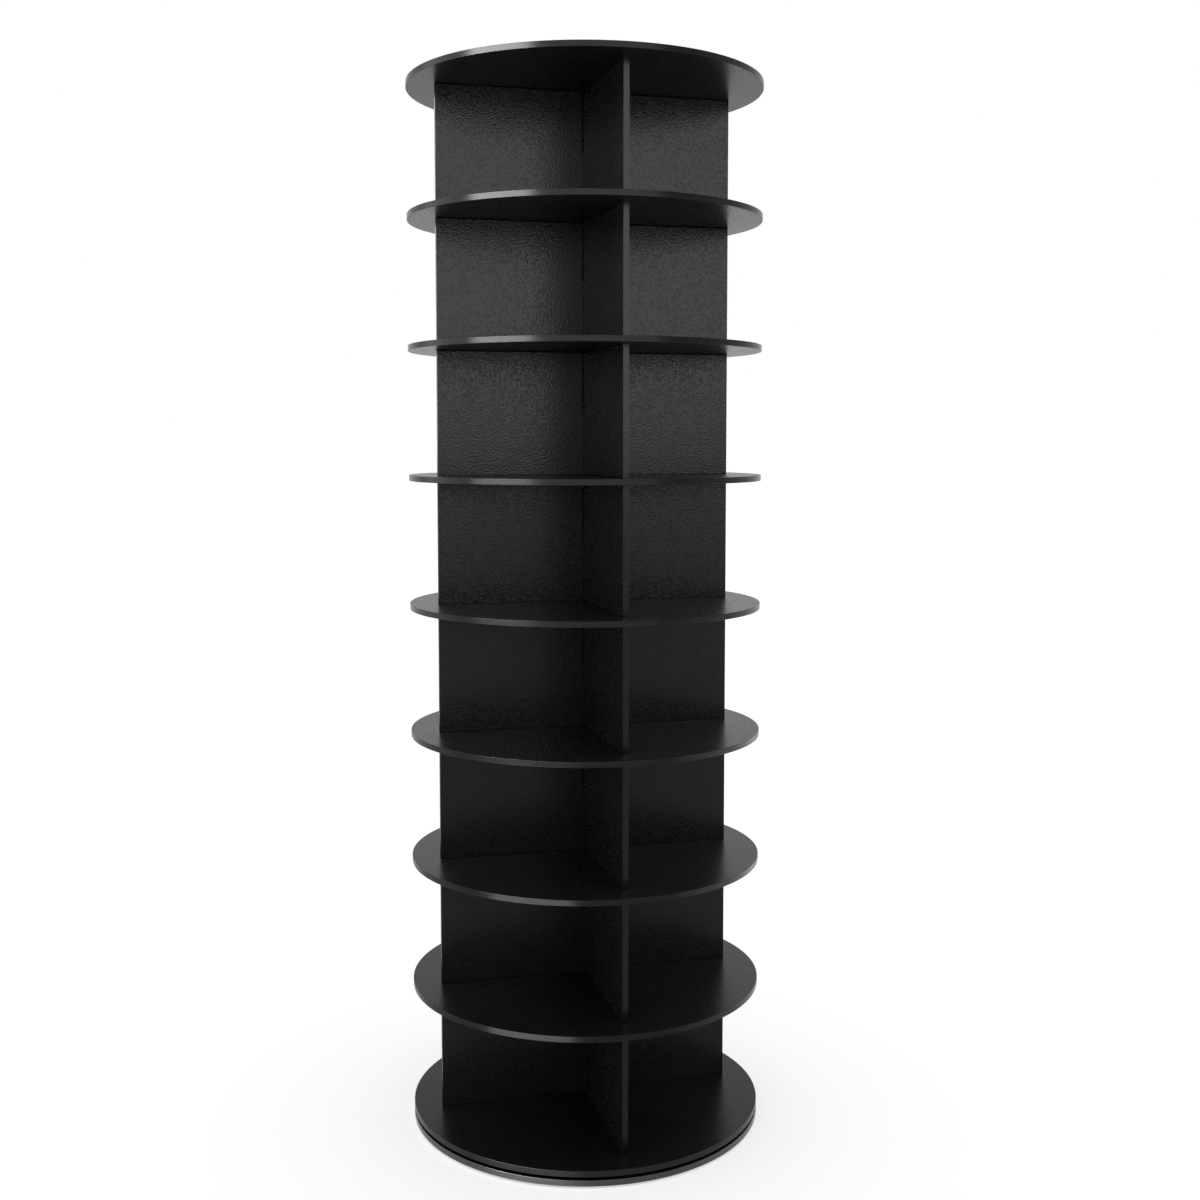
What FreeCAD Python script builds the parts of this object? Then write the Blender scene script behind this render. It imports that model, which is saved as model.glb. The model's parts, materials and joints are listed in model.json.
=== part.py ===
"""Rotating shoe tower: eight tiers of round shelves on a ring-bearing turntable.

Millimetres, +Z up, origin on the floor under the tower's axis. Four open compartments per tier lie between
the arms of a cross of two halved upright boards. Everything above the bearing turns on the base disc.
"""
import FreeCAD, Part
import math
import os

# Boards
BOARD = 9.0                 # thickness of every board
DISC_DIA = 560.0            # every disc, over its edging
CROSS_WIDTH = 476.0         # every upright board, over its edging
COMPARTMENT_HEIGHT = 194.0  # clear height of a tier
TIERS = 8
HALVING_PLAY = 0.15         # each side of a board in the other board's slot, and at the slots' ends

# Edging strips
EDGING = 1.0                # thickness of the strip
EDGING_ARRIS = 0.4          # rounding of the strip's outer long edges

# Feet
FOOT_DIA = 30.0
FOOT_HEIGHT = 3.0
FOOT_EDGE = 0.5             # chamfer round the foot's lower face
FOOT_INSET = 45.0           # disc's rim to a foot's centre
FOOT_COUNT = 6

# Ring bearing, between the base disc and the turntable disc
BALL_DIA = 3.0
BALL_CIRCLE_DIA = 276.0
BALL_COUNT = 24
RING_WIDTH = 16.0           # radial width of each ring
RING_THICKNESS = 4.5
RING_STANDOFF = 0.5         # each ring's clearance from the disc that it turns against
RING_SPACING = 1.6          # radial gap between the two rings
BALL_PLAY = 0.12            # round a ball, in its grooves and in the cage
CAGE_THICKNESS = 0.6
CAGE_CLEARANCE = 0.4        # cage's edges to the two discs
RING_SCREW_COUNT = 8        # in each ring

# Wood screws, machine screws and dowels
WOOD_SCREW_DIA = 3.5
WOOD_SCREW_HEAD_DIA = 7.0
WOOD_SCREW_LENGTH = 35.0
MACHINE_SCREW_DIA = 4.0
MACHINE_SCREW_HEAD_DIA = 7.5
SCREW_END_COVER = 1.5       # material left over the end of a ring's screw
CROSS_RECESS_WIDTH = 0.8
CROSS_RECESS_DEPTH = 1.2
DOWEL_DIA = 5.0
DOWEL_LENGTH = 45.0
DOWEL_CHAMFER = 0.6
FASTENER_PLAY = 0.1         # round each screw and dowel
BLIND_END_PLAY = 0.5        # past each fastener's end, in its blind hole
INNER_FIXING_RADIUS = 60.0  # tower's axis to the inner fixings
OUTER_FIXING_INSET = 38.0   # a board's end to the outer fixings
CAP_DIA = 12.0
CAP_THICKNESS = 0.4

# Levels and radii that follow
DISC_RADIUS = DISC_DIA / 2
BEARING_HEIGHT = RING_THICKNESS + RING_STANDOFF
BASE_Z = FOOT_HEIGHT
BEARING_Z = BASE_Z + BOARD
TURNTABLE_Z = BEARING_Z + BEARING_HEIGHT
TIER_PITCH = COMPARTMENT_HEIGHT + BOARD
BALL_CIRCLE_RADIUS = BALL_CIRCLE_DIA / 2
OUTER_RING_BORE = BALL_CIRCLE_RADIUS + RING_SPACING / 2
INNER_RING_RIM = BALL_CIRCLE_RADIUS - RING_SPACING / 2
BALL_Z = BEARING_Z + BEARING_HEIGHT / 2
OUTER_FIXING_RADIUS = CROSS_WIDTH / 2 - OUTER_FIXING_INSET
FIXING_RADII = (INNER_FIXING_RADIUS, OUTER_FIXING_RADIUS)
MIDDLE_FIXING_RADIUS = sum(FIXING_RADII) / 2
UP = FreeCAD.Vector(0, 0, 1)
AXIS_X = FreeCAD.Vector(1, 0, 0)
ORIGIN = FreeCAD.Vector(0, 0, 0)


def disc_z(level):
    """Underside of a turning disc: level 0 is the turntable disc, TIERS is the top disc."""
    return TURNTABLE_Z + level * TIER_PITCH


def tier_z(tier):
    """Foot of a tier's boards, on the disc below them."""
    return disc_z(tier - 1) + BOARD


def turned(profile):
    """Solid of revolution about Z from (radius, z) corners, given in order."""
    points = [FreeCAD.Vector(r, 0, z) for r, z in profile]
    return Part.Face(Part.makePolygon(points + points[:1])).revolve(ORIGIN, UP, 360)


def rod(radius, z_low, z_high):
    return Part.makeCylinder(radius, z_high - z_low, FreeCAD.Vector(0, 0, z_low))


def ring(r_in, r_out, z_low, z_high):
    return rod(r_out, z_low, z_high).cut(rod(r_in, z_low, z_high))


def placed(shape, x, y, z, upside_down=False):
    copy = shape.copy()
    if upside_down:
        copy.rotate(ORIGIN, AXIS_X, 180)
    copy.translate(FreeCAD.Vector(x, y, z))
    return copy


def cut_all(shape, cutters):
    return shape.cut(cutters) if cutters else shape


def round_spots(radius, count, first_step=0.0):
    """Evenly spaced (x, y) round the tower's axis, the first one so many steps from +X."""
    angles = [2 * math.pi * (first_step + i) / count for i in range(count)]
    return [(radius * math.cos(a), radius * math.sin(a)) for a in angles]


def arm_spots(radii):
    """(x, y) of fixings at these radii on the cross's four arms."""
    return [spot for radius in radii for spot in round_spots(radius, 4)]


def on_board(spots, along_x):
    """The spots that lie in the board that runs along X, or in the one along Y."""
    across = 1 if along_x else 0
    return [spot for spot in spots if abs(spot[across]) < BOARD / 2]


# Fasteners, each made with its head's face at z = 0 and its shank downwards, and the hole for each

def screw(shank_dia, head_dia, length, pointed, play=0.0, end_play=0.0):
    """Countersunk screw, or with play the hole that it goes into."""
    shank = shank_dia / 2 + play
    head = head_dia / 2 + play
    end = -(length + end_play)
    shank_end = end + shank_dia if pointed else end
    return turned([(0, 0), (head, 0), (shank, shank - head), (shank, shank_end), (0, end)])


def cross_recess():
    """Driver's recess, its arms as long as a wood screw's shank is wide."""
    arm = Part.makeBox(CROSS_RECESS_WIDTH, WOOD_SCREW_DIA, CROSS_RECESS_DEPTH,
                       FreeCAD.Vector(-CROSS_RECESS_WIDTH / 2, -WOOD_SCREW_DIA / 2, -CROSS_RECESS_DEPTH))
    return arm.fuse(arm.rotated(ORIGIN, UP, 90))


def wood_screw(length):
    return screw(WOOD_SCREW_DIA, WOOD_SCREW_HEAD_DIA, length, True).cut(cross_recess())


def wood_screw_hole(length):
    return screw(WOOD_SCREW_DIA, WOOD_SCREW_HEAD_DIA, length, False, FASTENER_PLAY, BLIND_END_PLAY)


def machine_screw(length):
    return screw(MACHINE_SCREW_DIA, MACHINE_SCREW_HEAD_DIA, length, False).cut(cross_recess())


def machine_screw_hole(length):
    return screw(MACHINE_SCREW_DIA, MACHINE_SCREW_HEAD_DIA, length, False, FASTENER_PLAY, BLIND_END_PLAY)


def dowel(play=0.0, end_play=0.0):
    """Dowel about z = 0, with chamfered ends, or with play its hole."""
    radius = DOWEL_DIA / 2 + play
    half = DOWEL_LENGTH / 2 + end_play
    chamfer = 0.0 if play else DOWEL_CHAMFER
    if not chamfer:
        return rod(radius, -half, half)
    slope = [(radius - chamfer, -half), (radius, chamfer - half), (radius, half - chamfer),
             (radius - chamfer, half)]
    return turned([(0, -half)] + slope + [(0, half)])


# Where the fasteners go at each turning disc

def screws_at(level):
    """(x, y, z, upside_down) of the wood screws that hold the disc to the boards."""
    if level == 0:
        return [(x, y, disc_z(0), True) for x, y in arm_spots(FIXING_RADII)]
    radii = FIXING_RADII if level == TIERS else (MIDDLE_FIXING_RADIUS,)
    return [(x, y, disc_z(level) + BOARD, False) for x, y in arm_spots(radii)]


def dowels_at(level):
    """(x, y, z) of the dowels that pass through a shelf disc."""
    if level in (0, TIERS):
        return []
    return [(x, y, disc_z(level) + BOARD / 2) for x, y in arm_spots(FIXING_RADII)]


def fixing_holes(level, along_x=None):
    """Holes for a disc's fixings: all of them, or those in the board along X or along Y."""
    screws, dowels = screws_at(level), dowels_at(level)
    if along_x is not None:
        screws, dowels = on_board(screws, along_x), on_board(dowels, along_x)
    screw_hole = wood_screw_hole(WOOD_SCREW_LENGTH)
    dowel_hole = dowel(FASTENER_PLAY, BLIND_END_PLAY)
    return [placed(screw_hole, *at) for at in screws] + [placed(dowel_hole, *at) for at in dowels]


# Boards and their edging

def disc(z_low, holes=()):
    return cut_all(rod(DISC_RADIUS - EDGING, z_low, z_low + BOARD), list(holes))


def disc_edging(z_low):
    strip = ring(DISC_RADIUS - EDGING, DISC_RADIUS, z_low, z_low + BOARD)
    circles = [e for e in strip.Edges if isinstance(e.Curve, Part.Circle)]
    rims = [e for e in circles if e.Curve.Radius > DISC_RADIUS - EDGING / 2]
    return strip.makeFillet(EDGING_ARRIS, rims)


def upright_board(tier, along_x):
    """One board of a tier's cross, slotted from its top edge if it runs along X, else from its foot."""
    length = CROSS_WIDTH - 2 * EDGING
    foot = tier_z(tier)
    slot_depth = COMPARTMENT_HEIGHT / 2 + HALVING_PLAY
    slot_width = BOARD + 2 * HALVING_PLAY
    slot_foot = foot + COMPARTMENT_HEIGHT - slot_depth if along_x else foot
    size = (length, BOARD) if along_x else (BOARD, length)
    slot = (slot_width, BOARD) if along_x else (BOARD, slot_width)
    board = Part.makeBox(*size, COMPARTMENT_HEIGHT, FreeCAD.Vector(-size[0] / 2, -size[1] / 2, foot))
    notch = Part.makeBox(*slot, slot_depth, FreeCAD.Vector(-slot[0] / 2, -slot[1] / 2, slot_foot))
    holes = fixing_holes(tier - 1, along_x) + fixing_holes(tier, along_x)
    return cut_all(board, [notch] + holes)


def upright_edging(tier):
    """The four strips on the ends of a tier's boards."""
    strip = Part.makeBox(EDGING, BOARD, COMPARTMENT_HEIGHT,
                         FreeCAD.Vector(CROSS_WIDTH / 2 - EDGING, -BOARD / 2, tier_z(tier)))
    uprights = [e for e in strip.Edges if abs(e.tangentAt(e.FirstParameter).z) > 0.5
                and e.CenterOfMass.x > CROSS_WIDTH / 2 - EDGING / 2]
    strip = strip.makeFillet(EDGING_ARRIS, uprights)
    return [strip.rotated(ORIGIN, UP, 90 * arm) for arm in range(4)]


# Bearing

def bearing_ring(r_in, r_out, z_low, holes):
    """Flat ring with half of the ball groove in the side that faces the balls."""
    groove = Part.makeTorus(BALL_CIRCLE_RADIUS, BALL_DIA / 2 + BALL_PLAY, FreeCAD.Vector(0, 0, BALL_Z))
    return cut_all(ring(r_in, r_out, z_low, z_low + RING_THICKNESS), [groove] + holes)


def bearing_cage():
    """Thin band between the rings, with a round pocket through it for each ball."""
    band = ring(BALL_CIRCLE_RADIUS - CAGE_THICKNESS / 2, BALL_CIRCLE_RADIUS + CAGE_THICKNESS / 2,
                BEARING_Z + CAGE_CLEARANCE, TURNTABLE_Z - CAGE_CLEARANCE)
    reach = 2 * CAGE_THICKNESS
    pocket = Part.makeCylinder(BALL_DIA / 2 + BALL_PLAY, 2 * reach,
                               FreeCAD.Vector(BALL_CIRCLE_RADIUS - reach, 0, BALL_Z), AXIS_X)
    return band.cut([pocket.rotated(ORIGIN, UP, 360.0 * i / BALL_COUNT) for i in range(BALL_COUNT)])


def bearing():
    """Rings, balls, cage and ring screws, by node name, and the holes that the screws make in the discs."""
    outer_r = OUTER_RING_BORE + RING_WIDTH / 2
    inner_r = INNER_RING_RIM - RING_WIDTH / 2
    base_length = BOARD + RING_THICKNESS - SCREW_END_COVER
    turntable_length = RING_THICKNESS + BOARD - SCREW_END_COVER
    base_spots = [(x, y, BASE_Z, True) for x, y in round_spots(outer_r, RING_SCREW_COUNT)]
    inner_z = TURNTABLE_Z - RING_THICKNESS
    turntable_spots = [(x, y, inner_z, True) for x, y in round_spots(inner_r, RING_SCREW_COUNT, 0.5)]
    base_holes = [placed(machine_screw_hole(base_length), *at) for at in base_spots]
    turntable_holes = [placed(wood_screw_hole(turntable_length), *at) for at in turntable_spots]

    ball = Part.makeSphere(BALL_DIA / 2)
    ball_spots = round_spots(BALL_CIRCLE_RADIUS, BALL_COUNT)
    nodes = {
        "bearing_outer_ring": [bearing_ring(OUTER_RING_BORE, OUTER_RING_BORE + RING_WIDTH, BEARING_Z,
                                            base_holes)],
        "bearing_inner_ring": [bearing_ring(INNER_RING_RIM - RING_WIDTH, INNER_RING_RIM, inner_z,
                                            turntable_holes)],
        "bearing_outer_ring_screws": [placed(machine_screw(base_length), *at) for at in base_spots],
        "bearing_inner_ring_screws": [placed(wood_screw(turntable_length), *at) for at in turntable_spots],
        "bearing_balls": [placed(ball, x, y, BALL_Z) for x, y in ball_spots],
        "bearing_cage": [bearing_cage()],
    }
    return nodes, base_holes, turntable_holes


def foot():
    lower = FOOT_DIA / 2 - FOOT_EDGE
    return turned([(0, 0), (lower, 0), (FOOT_DIA / 2, FOOT_EDGE), (FOOT_DIA / 2, FOOT_HEIGHT),
                   (0, FOOT_HEIGHT)])


def disc_name(level):
    names = {0: "turntable", TIERS: "top"}
    return names.get(level, f"shelf_{level}")


def tower():
    """Every node of the tower, by name, as a list of solids."""
    nodes, base_holes, turntable_holes = bearing()
    nodes["base_disc"] = [disc(BASE_Z, base_holes)]
    nodes["base_edging"] = [disc_edging(BASE_Z)]
    nodes["base_feet"] = [placed(foot(), x, y, 0)
                          for x, y in round_spots(DISC_RADIUS - FOOT_INSET, FOOT_COUNT, 0.5)]
    for level in range(TIERS + 1):
        holes = fixing_holes(level) + (turntable_holes if level == 0 else [])
        nodes[f"{disc_name(level)}_disc"] = [disc(disc_z(level), holes)]
        nodes[f"{disc_name(level)}_edging"] = [disc_edging(disc_z(level))]
    for tier in range(1, TIERS + 1):
        nodes[f"tier_{tier}_wide_board"] = [upright_board(tier, True)]
        nodes[f"tier_{tier}_divider"] = [upright_board(tier, False)]
        nodes[f"tier_{tier}_edging"] = upright_edging(tier)

    long_screw = wood_screw(WOOD_SCREW_LENGTH)
    shelves = range(1, TIERS)
    nodes["turntable_screws"] = [placed(long_screw, *at) for at in screws_at(0)]
    nodes["shelf_screws"] = [placed(long_screw, *at) for level in shelves for at in screws_at(level)]
    nodes["shelf_dowels"] = [placed(dowel(), *at) for level in shelves for at in dowels_at(level)]
    nodes["top_screws"] = [placed(long_screw, *at) for at in screws_at(TIERS)]
    cap = rod(CAP_DIA / 2, 0, CAP_THICKNESS)
    nodes["top_screw_caps"] = [placed(cap, *at) for at in screws_at(TIERS)]
    return nodes


os.makedirs("parts", exist_ok=True)
for name, solids in tower().items():
    shape = solids[0] if len(solids) == 1 else Part.makeCompound(solids)
    shape.exportStep(f"parts/{name}.step")
    print(f"{name}: {len(shape.Solids)} solids, {shape.Volume / 1000:.1f} cm3, valid {shape.isValid()}")
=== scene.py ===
# %% [markdown]
# # A rotating shoe tower
# Eight tiers between round black shelves turn on a ring bearing over a fixed base disc. The
# construction is finished: every board, screw and ball comes in as a solid of its own, at its real
# size. What is left to learn here is the finish of flat-pack furniture: a melamine face, the edging
# strip glued round each board, and a studio that shows both. All sizes are in metres.

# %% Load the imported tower
import json
import math

import bmesh
import bpy
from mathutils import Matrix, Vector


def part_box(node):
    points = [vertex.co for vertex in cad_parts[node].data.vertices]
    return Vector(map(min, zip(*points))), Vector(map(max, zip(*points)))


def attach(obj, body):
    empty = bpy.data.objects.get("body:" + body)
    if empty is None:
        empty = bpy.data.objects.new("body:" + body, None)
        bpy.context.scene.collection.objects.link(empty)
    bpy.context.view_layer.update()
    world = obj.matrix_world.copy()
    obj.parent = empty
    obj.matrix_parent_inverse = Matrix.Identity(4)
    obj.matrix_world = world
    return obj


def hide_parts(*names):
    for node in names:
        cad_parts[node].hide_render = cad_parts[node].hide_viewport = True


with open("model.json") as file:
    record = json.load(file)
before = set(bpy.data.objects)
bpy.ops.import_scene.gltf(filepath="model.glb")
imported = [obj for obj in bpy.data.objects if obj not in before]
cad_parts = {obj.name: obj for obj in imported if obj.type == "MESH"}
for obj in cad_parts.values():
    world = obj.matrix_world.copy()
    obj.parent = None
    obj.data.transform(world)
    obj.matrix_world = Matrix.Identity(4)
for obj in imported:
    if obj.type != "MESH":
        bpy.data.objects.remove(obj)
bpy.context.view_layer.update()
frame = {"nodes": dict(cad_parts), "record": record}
nodes, record = frame["nodes"], frame["record"]
MM = 0.001

# %% [markdown]
# ## The tower's own sizes
# Later steps need a few sizes, such as the radius of a disc. Typed in again, they could disagree
# with the solids, so they are read from the boxes of the pieces. That keeps one source for every
# size. The record says which body each piece turns with, and which finish it was given.

# %% Read the sizes from the solids
body_of = {name: body for body, names in record["behaviour"]["bodies"].items() for name in names}
slot_of = {row["node"]: row["material_slot"] for row in record["subparts"]}
levels = [name.removesuffix("_disc") for name in nodes if name.endswith("_disc")]
DISC_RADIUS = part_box("top_edging")[1].x
CORE_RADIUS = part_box("top_disc")[1].x
print(f"{len(levels)} discs of radius {DISC_RADIUS / MM:.0f} mm, "
      f"with an edging of {(DISC_RADIUS - CORE_RADIUS) / MM:.1f} mm")

# %% [markdown]
# ## Helpers for materials
# A finish is chosen as a screen colour, written as a hex value, while the renderer counts in linear
# light, so one function converts. Another adds a shader node with its settings and links, which
# makes each material below read as a list of what it does. Sizes of patterns come from real sizes
# in millimetres: a texture's scale is one over the size of a single grain. The values of a noise
# texture crowd round 0.5. Nearly all lie between 0.3 and 0.7, so a ramp that starts and ends there
# uses all of its colours, and one that runs from 0.35 to 0.65 has a little more contrast.

# %% Helpers for materials
NOISE_MIN, NOISE_MAX = 0.3, 0.7
NOISE_LOW, NOISE_HIGH = 0.35, 0.65


def linear(hex_colour):
    """An sRGB hex value, such as "#1a1a1b", as linear red, green, blue and alpha."""
    parts = [int(hex_colour[i:i + 2], 16) / 255 for i in (1, 3, 5)]
    return [p / 12.92 if p <= 0.04045 else ((p + 0.055) / 1.055) ** 2.4 for p in parts] + [1.0]


def add(tree, kind, inputs=None, stops=(), **settings):
    """Adds a shader node. An input is a value, a node or a socket; stops are a ramp's colours."""
    made = tree.nodes.new("ShaderNode" + kind)
    for name, value in settings.items():
        setattr(made, name, value)
    for name, value in (inputs or {}).items():
        if isinstance(value, bpy.types.Node):
            value = value.outputs[0]
        if isinstance(value, bpy.types.NodeSocket):
            tree.links.new(value, made.inputs[name])
        else:
            made.inputs[name].default_value = value
    for element, (position, colour) in zip(made.color_ramp.elements if stops else (), stops):
        element.position, element.color = position, linear(colour)
    return made


def blank_material(name):
    """A material with no nodes yet, its tree, and the place of each point of a piece, in metres."""
    material = bpy.data.materials.new(name)
    material.use_nodes = True
    material.node_tree.nodes.clear()
    return material, material.node_tree, add(material.node_tree, "TexCoord").outputs["Object"]


print("#808080 is", [round(c, 3) for c in linear("#808080")[:3]], "in linear light")

# %% [markdown]
# ## Black melamine board
# The boards are chipboard faced with melamine resin paper, pressed hot against a steel plate that
# is etched with a fine pearl texture. That gives a hard, nearly black skin which still mirrors what
# stands near it, but softly, and which breaks up into small grains where something dark and
# something bright meet in the reflection. A plain glossy black would mirror like glass, and a matt
# one would lose the depth between the shelves. So the pearls do two things here: a small bump tilts
# the reflection from pearl to pearl, and one pearl is smoother than the next. They are 0.8 mm
# across on the real board, which is too fine to show, so they are drawn 3 mm apart.
#
# One skin comes in three grades. The discs, which shoes are pushed over, are a softer grade than
# the
# uprights: flatter pearls, rougher all over, and less of a mirror. Their colour is also a deeper
# black all over, which is painted shade, so that their faces deep in the compartments come out as
# dark as they lie in shade. The dividers are mostly seen along their face, where fine pearls melt
# into an even sheen and the coarse drawn ones would not, so theirs are nearly flat. The IOR is that
# of the resin.
# The specular level is well under its usual 0.5, because the full mirror image of a white room
# would turn this black to grey.

# %% Black melamine board
MELAMINE_IOR = 1.5
PEARL = 3.0 * MM
CLOUD = 90 * MM


def black_melamine(name, smoothest, roughest, pearl_depth, level, dark="#1b1b1b", light="#202020"):
    """A grade of the board's face: its range of roughness, its pearls and its specular level."""
    material, tree, place = blank_material(name)
    pearl = add(tree, "TexVoronoi", {"Vector": place, "Scale": 1 / PEARL})
    polish = add(tree, "TexNoise", {"Vector": place, "Scale": 1 / PEARL, "Detail": 0.0})
    cloud = add(tree, "TexNoise", {"Vector": place, "Scale": 1 / CLOUD, "Detail": 3.0})
    colour = add(tree, "ValToRGB", {"Fac": cloud}, stops=((NOISE_LOW, dark), (NOISE_HIGH, light)))
    rough = add(tree, "MapRange", {
        "Value": polish, "From Min": NOISE_MIN, "From Max": NOISE_MAX,
        "To Min": smoothest, "To Max": roughest})
    bump = add(tree, "Bump", {
        "Height": pearl, "Strength": 1.0, "Distance": pearl_depth}, invert=True)
    skin = add(tree, "BsdfPrincipled", {
        "Base Color": colour, "Roughness": rough, "IOR": MELAMINE_IOR,
        "Specular IOR Level": level, "Normal": bump})
    add(tree, "OutputMaterial", {"Surface": skin})
    return material


upright_melamine = black_melamine(
    "black_melamine_upright", smoothest=0.14, roughest=0.34, pearl_depth=0.17 * MM, level=0.14)
divider_melamine = black_melamine(
    "black_melamine_divider", smoothest=0.20, roughest=0.30, pearl_depth=0.04 * MM, level=0.16)
# The darker colours given to the discs are painted shade, for their shaded faces between the tiers.
disc_melamine = black_melamine(
    "black_melamine_disc_with_painted_shade", smoothest=0.27, roughest=0.35, pearl_depth=0.03 * MM, level=0.10,
    dark="#151515", light="#1a1a1a")
print(upright_melamine.name, divider_melamine.name, disc_melamine.name, sep=", ")

# %% [markdown]
# ## Black ABS edging
# The cut edge of a board is closed with a strip of ABS, one millimetre thick, glued on hot and
# trimmed flush. It comes off an extruder, so it has no pearls: it is an even satin black, with
# faint lines along its length that draw a highlight out sideways. The lines run round a disc but up
# and down on an upright board, so one function makes both and is told which way the strip runs.
# Real lines are 0.3 mm apart, which is too fine to show, so they are drawn 1.5 mm apart.
#
# The two lowest rims, round the base and the turntable, mirror the floor just in front of them,
# which burns out far beyond white in a studio. Here it stays at white, so those two strips are
# shinier instead. The lower one is also a lighter grey, which is a painted reflection of that
# bright floor.

# %% Black ABS edging
ABS_IOR = 1.53
ABS_SMOOTHEST, ABS_ROUGHEST = 0.28, 0.36
EXTRUSION_LINE = 1.5 * MM
LINE_LENGTH = 60 * MM
LINE_RELIEF = 0.1 * MM
QUARTER_TURN = 0.25


def black_abs(name, along, dark="#0f0f0f", light="#161616", level=0.10):
    """Edging with its extrusion lines running along "z", or round the tower."""
    material, tree, place = blank_material(name)
    upwards = along == "z"
    fine, long = 1 / EXTRUSION_LINE, 1 / LINE_LENGTH
    scale = (fine, fine, long) if upwards else (long, long, fine)
    stretched = add(tree, "Mapping", {"Vector": place, "Scale": scale})
    lines = add(tree, "TexNoise", {"Vector": stretched, "Scale": 1.0, "Detail": 3.0})
    colour = add(tree, "ValToRGB", {"Fac": lines}, stops=((NOISE_MIN, dark), (NOISE_MAX, light)))
    rough = add(tree, "MapRange", {
        "Value": lines, "To Min": ABS_SMOOTHEST, "To Max": ABS_ROUGHEST})
    bump = add(tree, "Bump", {"Height": lines, "Strength": 0.15, "Distance": LINE_RELIEF})
    strip = add(tree, "BsdfPrincipled", {
        "Base Color": colour, "Roughness": rough, "IOR": ABS_IOR, "Specular IOR Level": level,
        "Anisotropic": 0.8, "Anisotropic Rotation": 0.0 if upwards else QUARTER_TURN,
        "Normal": bump})
    add(tree, "OutputMaterial", {"Surface": strip})
    return material


rim_abs = black_abs("black_abs_round_the_rim", along="rim")
upright_abs = black_abs("black_abs_upright", along="z", level=0.15)
turntable_abs = black_abs("black_abs_round_the_turntable", along="rim", level=0.17)
# The lighter grey of the base's strip is a painted reflection of the bright floor in front of it.
base_abs = black_abs(
    "paler_abs_round_the_base_painted_floor_reflection", along="rim", dark="#222222", light="#2a2a2a", level=0.5)
print(rim_abs.name, upright_abs.name, turntable_abs.name, base_abs.name, sep=", ")

# %% [markdown]
# ## Metal hardware
# The rest is what holds the tower together. Most of it hides between boards. The heads of the
# screws of the base show from below, and a little of the bearing through the gap over the base.
# Each metal has the same recipe with its own colour and roughness: a metal is fully metallic, keeps
# the default IOR, and is told apart by how its surface was made. Turned rings carry circles round
# the axis, zinc plate is faintly mottled, and bearing balls are polished until nothing shows but
# reflections. The marks also make a surface up to a fifth smoother here and rougher there.

# %% Metals
METAL_RELIEF = 0.05 * MM
METAL_SMOOTHER, METAL_ROUGHER = 0.8, 1.2


def metal(name, dark, light, roughness, pattern, size, bump=0.1):
    """A metal that varies between two colours, in turned circles or in mottles of one size."""
    material, tree, place = blank_material(name)
    if pattern == "circles":
        flat = add(tree, "VectorMath", {0: place, 1: (1.0, 1.0, 0.0)}, operation="MULTIPLY")
        radius = add(tree, "VectorMath", {0: flat}, operation="LENGTH").outputs["Value"]
        place = add(tree, "CombineXYZ", {"X": radius})
    marks = add(tree, "TexNoise", {"Vector": place, "Scale": 1 / size, "Detail": 2.0})
    colour = add(tree, "ValToRGB", {"Fac": marks}, stops=((NOISE_LOW, dark), (NOISE_HIGH, light)))
    rough = add(tree, "MapRange", {
        "Value": marks, "To Min": roughness * METAL_SMOOTHER,
        "To Max": roughness * METAL_ROUGHER})
    relief = add(tree, "Bump", {"Height": marks, "Strength": bump, "Distance": METAL_RELIEF})
    skin = add(tree, "BsdfPrincipled", {
        "Base Color": colour, "Metallic": 1.0, "Roughness": rough, "Normal": relief})
    add(tree, "OutputMaterial", {"Surface": skin})
    return material


aluminium = metal(
    "turned_aluminium", "#b9bcbe", "#d2d4d6", roughness=0.3, pattern="circles", size=0.8 * MM)
zinc = metal(
    "zinc_plated_steel", "#a9afb3", "#c6cacc", roughness=0.28, pattern="mottles", size=0.6 * MM)
ball_steel = metal(
    "polished_bearing_steel", "#c4c6c8", "#cfd1d2", roughness=0.08, pattern="mottles",
    size=1.0 * MM, bump=0.02)
print(aluminium.name, zinc.name, ball_steel.name, sep=", ")

# %% [markdown]
# ## Plastics, rubber and wood of the small parts
# The ball cage is moulded nylon, milky and slightly translucent. The feet are matt rubber pads, and
# the caps over the top screws are discs of pearl film like that on the boards. The dowels are
# beech, which shows short dark flecks along its grain, so their noise is stretched along the dowel.
# One recipe makes all four, from two colours, a roughness and the size of a grain.

# %% Plastics, rubber and wood
GRAIN_RELIEF = 0.1 * MM
GRAIN_SMOOTHER, GRAIN_ROUGHER = 0.85, 1.1


def mottled(name, dark, light, roughness, size, stretch=1.0, bump=0.1, **more):
    """A non-metal with grains of one size, drawn out upwards by the stretch."""
    material, tree, place = blank_material(name)
    grain_place = add(tree, "Mapping", {
        "Vector": place, "Scale": (1 / size, 1 / size, 1 / (size * stretch))})
    grain = add(tree, "TexNoise", {"Vector": grain_place, "Scale": 1.0, "Detail": 3.0})
    colour = add(tree, "ValToRGB", {"Fac": grain}, stops=((NOISE_LOW, dark), (NOISE_HIGH, light)))
    rough = add(tree, "MapRange", {
        "Value": grain, "To Min": roughness * GRAIN_SMOOTHER,
        "To Max": roughness * GRAIN_ROUGHER})
    relief = add(tree, "Bump", {"Height": grain, "Strength": bump, "Distance": GRAIN_RELIEF})
    skin = add(tree, "BsdfPrincipled", {
        "Base Color": colour, "Roughness": rough, "Normal": relief, **more})
    add(tree, "OutputMaterial", {"Surface": skin})
    return material


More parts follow.
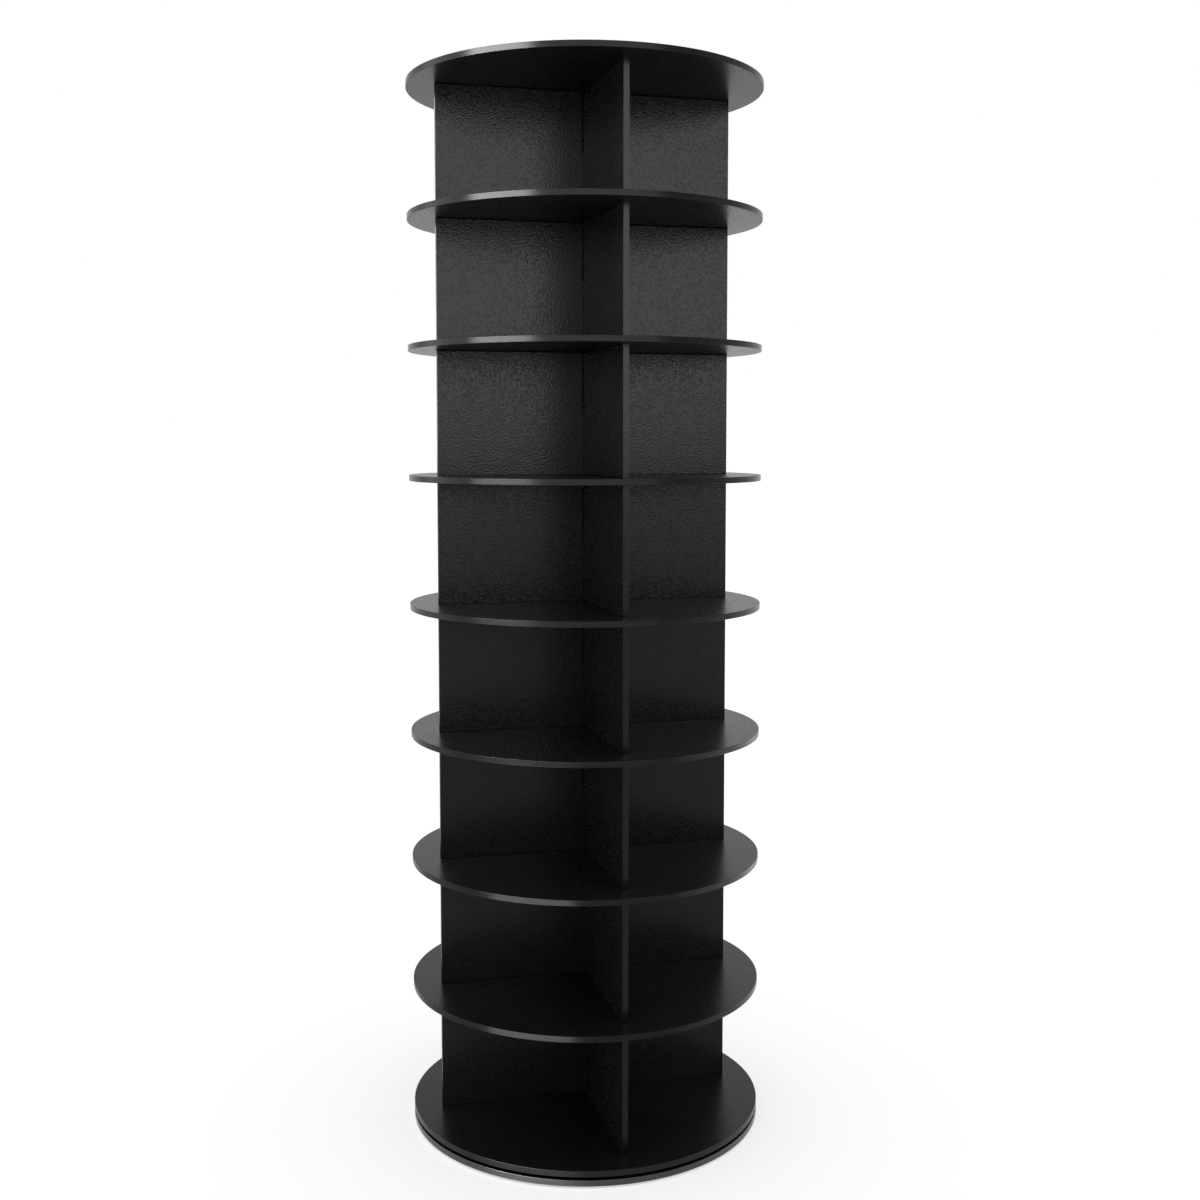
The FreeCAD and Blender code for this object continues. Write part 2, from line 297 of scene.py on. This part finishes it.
nylon = mottled(
    "moulded_nylon", "#cfcdc2", "#dcdacf", roughness=0.45, size=2 * MM, bump=0.05,
    **{"IOR": 1.53, "Subsurface Weight": 0.2, "Subsurface Scale": 1 * MM})
rubber = mottled(
    "black_rubber", "#1c1c1c", "#262626", roughness=0.8, size=0.7 * MM, bump=0.3,
    **{"IOR": 1.52})
beech = mottled(
    "fluted_beech", "#b98a5c", "#d2a777", roughness=0.6, size=0.5 * MM, stretch=12,
    **{"IOR": 1.5})
cap_film = mottled(
    "pearl_cap_film", "#1a1a1a", "#262525", roughness=0.35, size=0.8 * MM,
    **{"IOR": 1.5, "Specular IOR Level": 0.3})
print(nylon.name, rubber.name, beech.name, cap_film.name, sep=", ")

# %% [markdown]
# ## Dress every solid
# The record names a finish for each piece. A dictionary joins those names to the materials above,
# so a piece can't be forgotten: a missing name would stop the script. Discs and dividers get their
# own grade of the board's finish, which is known by the last word of their name.

# %% Dress every solid
FINISHES = {
    "black_melamine_board": upright_melamine, "black_edging_strip": upright_abs,
    "rubber_foot": rubber, "aluminium_ring": aluminium, "zinc_plated_screw": zinc,
    "bearing_steel": ball_steel, "nylon_cage": nylon, "beech_dowel": beech,
    "black_cover_cap": cap_film}
OTHER_GRADES = {"disc": disc_melamine, "divider": divider_melamine}

for name, solid in nodes.items():
    other_grade = OTHER_GRADES.get(name.rsplit("_", 1)[-1])
    solid.data.materials.clear()
    solid.data.materials.append(other_grade or FINISHES[slot_of[name]])
print(f"dressed {len(nodes)} solids in {len(FINISHES) + len(OTHER_GRADES)} finishes")

# %% [markdown]
# ## Eased boards
# Where an upright board meets a disc, or another board, there is always a fine dark line, because
# the saw leaves the face chipped back a little along the cut. Two solids that merely touch don't
# show it. A bevel along the cuts of each upright board opens a groove there, and the shadow falls
# in by itself. Only the edges on a joint are marked for it: along the top, along the foot, and
# round the slot of the cross. Screw holes and the ends under the edging stay sharp.
#
# The faces of an imported solid don't share their corners, and a bevel needs an edge between two
# faces, so a weld joins the corners first. Weld and bevel are modifiers, so the board underneath
# stays as it was cut.

# %% Find the edges on a joint
SLOT_REACH = 5 * MM
TOUCHING = 0.01 * MM


def on_a_joint(start, end, low, high, along, across):
    """Whether an edge lies on a board's face, along its top or its foot or round its slot."""
    flat = abs(start[across] - end[across]) < TOUCHING
    on_face = flat and min(abs(start[across] - face[across]) for face in (low, high)) < TOUCHING
    level = any(max(abs(start.z - cut.z), abs(end.z - cut.z)) < TOUCHING for cut in (low, high))
    in_slot = max(abs(start[along]), abs(end[along])) < SLOT_REACH
    return on_face and (level or in_slot)


print(f"edges within {SLOT_REACH / MM:.0f} mm of the axis count as the slot's")

# %% Ease the upright boards
CHIPPED_BACK = 1.6 * MM
CHIP_STEPS = 2


def ease(name):
    """Marks the joint edges of a board, then welds its corners and bevels the marked edges."""
    board = nodes[name]
    low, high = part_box(name)
    along, across = (0, 1) if name.endswith("_wide_board") else (1, 0)
    corners = board.data.vertices
    marks = board.data.attributes.new("bevel_weight_edge", "FLOAT", "EDGE")
    for edge in board.data.edges:
        start, end = (corners[i].co for i in edge.vertices)
        marks.data[edge.index].value = on_a_joint(start, end, low, high, along, across)
    board.modifiers.new("shared_corners", "WELD").merge_threshold = TOUCHING
    eased = board.modifiers.new("chipped_edge", "BEVEL")
    eased.width, eased.segments, eased.limit_method = CHIPPED_BACK, CHIP_STEPS, "WEIGHT"
    eased.use_clamp_overlap = False
    eased.harden_normals = True


upright_boards = [name for name in nodes if name.endswith(("_wide_board", "_divider"))]
for name in upright_boards:
    ease(name)
print(f"eased {len(upright_boards)} boards by {CHIPPED_BACK / MM:.1f} mm")

# %% [markdown]
# ## Turning a ring
# A solid from construction software is cut into flat facets, and on a thin round edge they show as
# corners in the outline. Instead of smoothing them, a ring can be turned again from its section: a
# few points, carried round the axis in fine steps and joined from each step to the next.

# %% Turn a section round the axis
RING_STEPS = 360


def turned(name, section):
    """A mesh made by carrying a closed section of (radius, height) points round the axis."""
    build = bmesh.new()
    rows = []
    for step in range(RING_STEPS):
        turn = 2 * math.pi * step / RING_STEPS
        rows.append([build.verts.new((r * math.cos(turn), r * math.sin(turn), z))
                     for r, z in section])
    for row, following in zip(rows, rows[1:] + rows[:1]):
        for i in range(len(section)):
            j = (i + 1) % len(section)
            build.faces.new((row[i], following[i], following[j], row[j])).smooth = True
    bmesh.ops.recalc_face_normals(build, faces=build.faces)
    mesh = bpy.data.meshes.new(name)
    build.to_mesh(mesh)
    build.free()
    return mesh


print(f"a ring is turned in {RING_STEPS} steps of {360 / RING_STEPS:.0f} degree")

# %% [markdown]
# ## Edging rings
# The rim of every disc faces the viewer and carries the long highlights, so its outline and its
# corners matter more than anything else here. The section is a thin upright rectangle, and a bevel
# eases its corners, as the trimming cutter does on the real strip. It reaches 0.1 mm further in
# than the strip and stands 0.02 mm below the faces of the board, so the two never fight for the
# same surface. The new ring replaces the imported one, and rides on the same body, so that it turns
# with its disc.

# %% Turn the edging rings
ARRIS = 0.4 * MM
ARRIS_STEPS = 3
LAP = 0.1 * MM
SINK = 0.02 * MM
LOWEST_RIMS = {"base": base_abs, "turntable": turntable_abs}


def edging_ring(level):
    """The edging strip round the disc of one level."""
    low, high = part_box(f"{level}_edging")
    inside, foot, head = CORE_RADIUS - LAP, low.z + SINK, high.z - SINK
    mesh = turned(f"{level}_rim", [
        (inside, foot), (DISC_RADIUS, foot), (DISC_RADIUS, head), (inside, head)])
    mesh.materials.append(LOWEST_RIMS.get(level, rim_abs))
    ring = bpy.data.objects.new(f"{level}_rim", mesh)
    bpy.context.scene.collection.objects.link(ring)
    eased = ring.modifiers.new("eased_arris", "BEVEL")
    eased.width, eased.segments = ARRIS, ARRIS_STEPS
    eased.limit_method, eased.harden_normals = "ANGLE", True
    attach(ring, body_of[f"{level}_edging"])
    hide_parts(f"{level}_edging")
    return ring


rims = [edging_ring(level) for level in levels]
print(f"{len(rims)} rims with an arris of {ARRIS / MM:.1f} mm")

# %% [markdown]
# ## The floor
# The tower stands on a plain pale floor. To the camera, and in reflections, the open floor should
# read as white, yet the soft shadow round the base has to stay, because it is what makes the tower
# stand. So the floor is an ordinary pale matt surface, with just enough glow added for those rays
# to lift it to white.

# %% Floor
FLOOR_RADIUS = 40.0
FLOOR_CORNERS = 96
FLOOR_GLOW = 0.52
WHITE = linear("#ffffff")


def seen_directly(tree):
    """1 for camera, glossy and transmission rays, and 0 for diffuse rays, which carry light."""
    path = add(tree, "LightPath")
    shiny = add(tree, "Math", {
        0: path.outputs["Is Glossy Ray"], 1: path.outputs["Is Transmission Ray"]},
        operation="MAXIMUM")
    return add(tree, "Math", {0: path.outputs["Is Camera Ray"], 1: shiny}, operation="MAXIMUM")


def pale_floor():
    """Pale matt paint that also glows a little for the rays that see it directly."""
    material, tree, _ = blank_material("pale_studio_floor")
    paint = add(tree, "BsdfDiffuse", {"Color": linear("#e6e6e6")})
    amount = add(tree, "Math", {0: seen_directly(tree), 1: FLOOR_GLOW}, operation="MULTIPLY")
    glow = add(tree, "Emission", {"Color": WHITE, "Strength": amount})
    both = add(tree, "AddShader", {0: paint, 1: glow})
    add(tree, "OutputMaterial", {"Surface": both})
    return material


bpy.ops.mesh.primitive_circle_add(vertices=FLOOR_CORNERS, radius=FLOOR_RADIUS, fill_type="NGON")
floor = bpy.context.object
floor.name = "studio_floor"
floor.data.materials.append(pale_floor())
print(f"floor {2 * FLOOR_RADIUS:.0f} m across")

# %% [markdown]
# ## The room
# To the camera and in reflections the room is white, so the black boards mirror a white room. It
# also sheds an even light from all sides, which is what shows the colour of matt pieces. That light
# is kept a little below white, so that nothing pale burns out.

# %% Room
ROOM_LIGHT = 0.7

world = bpy.data.worlds.new("studio")
bpy.context.scene.world = world
world.use_nodes = True
tree = world.node_tree
tree.nodes.clear()
room = add(tree, "Background", {"Color": WHITE, "Strength": ROOM_LIGHT})
white = add(tree, "Background", {"Color": WHITE, "Strength": 1.0})
mixed = add(tree, "MixShader", {0: seen_directly(tree), 1: room, 2: white})
add(tree, "OutputWorld", {"Surface": mixed})
print(f"the room lights matt pieces at {ROOM_LIGHT} and is seen at 1")

# %% [markdown]
# ## Lamps
# A black piece is lit by what it reflects, so a lamp is a bright shape to be mirrored. A wide scrim
# behind the camera, from the middle of the tower upwards, fills the upper compartments, and a
# fainter one stands on each of the other three sides, so that the tower reads from all round. A
# tall, bright softbox far to the left draws the highlight on the upper rims, a second one before
# its upper half makes the top rim the brightest, and a small card near the floor does the same for
# the lower ones. A faint panel beside the softboxes and a faint card on the right keep the ends of
# the rims from going dull.
#
# They are all there for their reflections alone: as light they would be too strong, so matt
# surfaces don't see them. The brightness of a lamp's face is what a mirror would show, with 1 for
# white, and its power follows from that and from its area.

# %% A lamp with a face
def panel_lamp(name, bearing, distance, low, high, width, brightness):
    """An upright face of light, turned to the axis. Bearing is from the front, to the right."""
    lamp = bpy.data.lights.new(name, "AREA")
    lamp.shape, lamp.size, lamp.size_y = "RECTANGLE", width, high - low
    lamp.energy = math.pi * brightness * lamp.size * lamp.size_y
    light = bpy.data.objects.new(name, lamp)
    bpy.context.scene.collection.objects.link(light)
    turn = math.radians(bearing)
    light.location = (distance * math.sin(turn), -distance * math.cos(turn), (low + high) / 2)
    light.rotation_euler = (math.pi / 2, 0.0, turn)
    light.visible_camera = False
    light.visible_diffuse = False
    print(f"{name}: {lamp.size:.1f} x {lamp.size_y:.1f} m, {lamp.energy:.0f} W")
    return light


# %% Lamps
SCRIM = {"distance": 2.9, "low": 1.02, "high": 2.8, "width": 4.2}

front_scrim = panel_lamp("front_scrim", bearing=-5, brightness=4.4, **SCRIM)
side_scrims = [panel_lamp(f"scrim_at_{bearing}", bearing=bearing, brightness=3, **SCRIM)
               for bearing in (85, 175, 265)]
rim_lamps = [
    panel_lamp("left_softbox", bearing=-66, distance=2.2, low=1.2, high=2.6, width=1.6,
               brightness=38),
    panel_lamp("upper_softbox", bearing=-66, distance=2.1, low=2.0, high=2.6, width=1.6,
               brightness=42),
    panel_lamp("left_panel", bearing=-112, distance=2.4, low=0.8, high=3.0, width=1.6,
               brightness=2.5),
    panel_lamp("low_left_card", bearing=-43, distance=0.66, low=0.02, high=0.36, width=0.54,
               brightness=14),
    panel_lamp("low_right_card", bearing=78, distance=0.75, low=0.02, high=0.7, width=1.2,
               brightness=1.4)]

# %% [markdown]
# ## Flags
# Seen along its face, a disc mirrors a lamp far more strongly than it does from above, and the
# mirrored lamp would burn a white patch into it. A studio keeps such light away with flags, which
# are black cards on stands. Light linking does the same without a card. The front scrim shines on
# everything but the discs, the scrims of the other sides on the uprights alone, and the other lamps
# on the rims alone.

# %% Flags
def shine_only_on(pieces, *lamps):
    """Links lamps to the only pieces that they are to light."""
    receivers = bpy.data.collections.new("seen_by_" + lamps[0].name)
    for piece in pieces:
        receivers.objects.link(piece)
    for light in lamps:
        light.light_linking.receiver_collection = receivers


uprights = [solid for name, solid in nodes.items() if name.startswith("tier_")]
all_but_discs = [solid for name, solid in nodes.items() if not name.endswith("_disc")]
shine_only_on(rims, *rim_lamps)
shine_only_on(uprights, *side_scrims)
shine_only_on(rims + all_but_discs, front_scrim)

# %% [markdown]
# ## Camera
# The camera stands close, a little left of the front and at about two thirds of the tower's height,
# and looks slightly down. From there the undersides of the upper shelves show, and the tops of the
# lower ones. A small lens shift does part of the looking down, which keeps the uprights straighter.
# The Standard view transform shows each colour as it is, with no film look over it.

# %% Camera
CAMERA_DISTANCE = 2.401
CAMERA_HEIGHT = 1.10
CAMERA_BEARING = math.radians(-14.46)
LOOK_DOWN = math.radians(4.30)
LOOK_RIGHT = math.radians(0.57)
LENS = 44.9
SHIFT = -0.0417

camera = bpy.data.objects.new("camera", bpy.data.cameras.new("camera"))
bpy.context.scene.collection.objects.link(camera)
bpy.context.scene.camera = camera
camera.location = (CAMERA_DISTANCE * math.sin(CAMERA_BEARING),
                   -CAMERA_DISTANCE * math.cos(CAMERA_BEARING), CAMERA_HEIGHT)
camera.rotation_euler = (math.pi / 2 - LOOK_DOWN, 0.0, CAMERA_BEARING - LOOK_RIGHT)
camera.data.lens = LENS
camera.data.shift_y = SHIFT
bpy.context.scene.view_settings.view_transform = "Standard"
print(f"camera at {CAMERA_DISTANCE:.2f} m, lens {LENS} mm")
